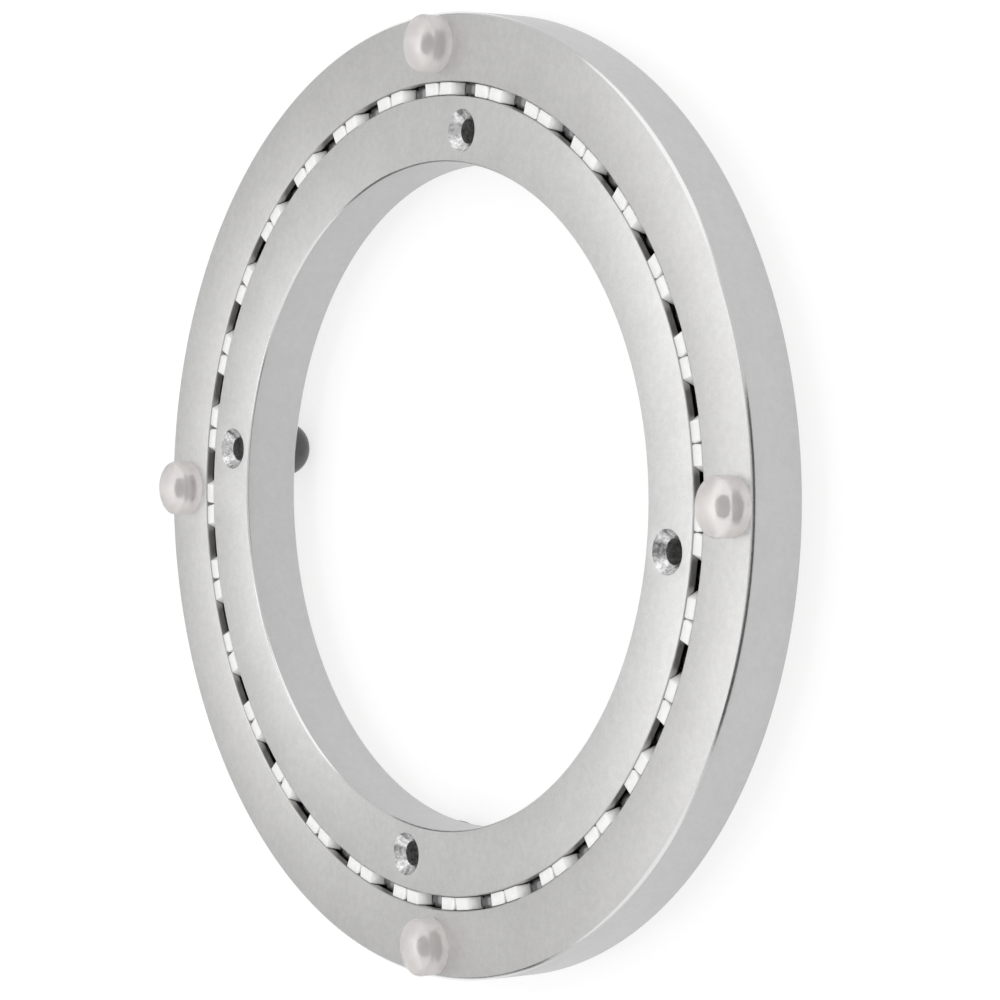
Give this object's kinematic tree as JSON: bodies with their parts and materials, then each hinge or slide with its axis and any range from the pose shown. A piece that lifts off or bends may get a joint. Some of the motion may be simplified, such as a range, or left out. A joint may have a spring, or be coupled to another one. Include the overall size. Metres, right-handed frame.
{
  "type": "lazy susan bearing",
  "caption": "Flat turntable bearing: two flush aluminium rings that turn on caged balls, with clear pads on the outer ring and rubber feet under the inner one.",
  "frame": {"origin": "on the spin axis, in the plane under the feet", "axes": "+Z is the spin axis, out of the face that carries the pads. +X goes through a screw hole of the inner ring"},
  "size_m": [0.2, 0.2, 0.0232],
  "materials": {
    "satin_aluminium": "fine blasted satin",
    "bright_steel": "polished",
    "white_nylon": "moulded, semi-matt",
    "clear_vinyl": "soft, clear and slightly milky",
    "black_rubber": "smooth, glossy"
  },
  "bodies": {
    "inner": {"inner_ring": "satin_aluminium", "foot_1": "black_rubber", "foot_2": "black_rubber", "foot_3": "black_rubber", "foot_4": "black_rubber"},
    "outer": {"outer_ring": "satin_aluminium", "pad_1": "clear_vinyl", "pad_2": "clear_vinyl", "pad_3": "clear_vinyl", "pad_4": "clear_vinyl"},
    "cage": {"ball_set": "bright_steel", "retainer_01": "white_nylon", "retainer_02": "white_nylon", "retainer_03": "white_nylon", "retainer_04": "white_nylon", "retainer_05": "white_nylon", "retainer_06": "white_nylon", "retainer_07": "white_nylon", "retainer_08": "white_nylon", "retainer_09": "white_nylon", "retainer_10": "white_nylon", "retainer_11": "white_nylon", "retainer_12": "white_nylon", "retainer_13": "white_nylon", "retainer_14": "white_nylon", "retainer_15": "white_nylon", "retainer_16": "white_nylon", "retainer_17": "white_nylon", "retainer_18": "white_nylon", "retainer_19": "white_nylon", "retainer_20": "white_nylon", "retainer_21": "white_nylon", "retainer_22": "white_nylon", "retainer_23": "white_nylon", "retainer_24": "white_nylon", "retainer_25": "white_nylon", "retainer_26": "white_nylon", "retainer_27": "white_nylon", "retainer_28": "white_nylon", "retainer_29": "white_nylon", "retainer_30": "white_nylon", "retainer_31": "white_nylon"}
  },
  "joints": [
    {"name": "outer_spin", "type": "hinge", "parent": "inner", "child": "outer", "pos_m": [0, 0, 0.0126], "axis": [0, 0, 1], "continuous": true},
    {"name": "cage_spin", "type": "hinge", "parent": "inner", "child": "cage", "pos_m": [0, 0, 0.0126], "axis": [0, 0, 1], "continuous": true}
  ],
  "couplings": [
    {"joint": "cage_spin", "follows": "outer_spin", "ratio": 0.5267}
  ]
}
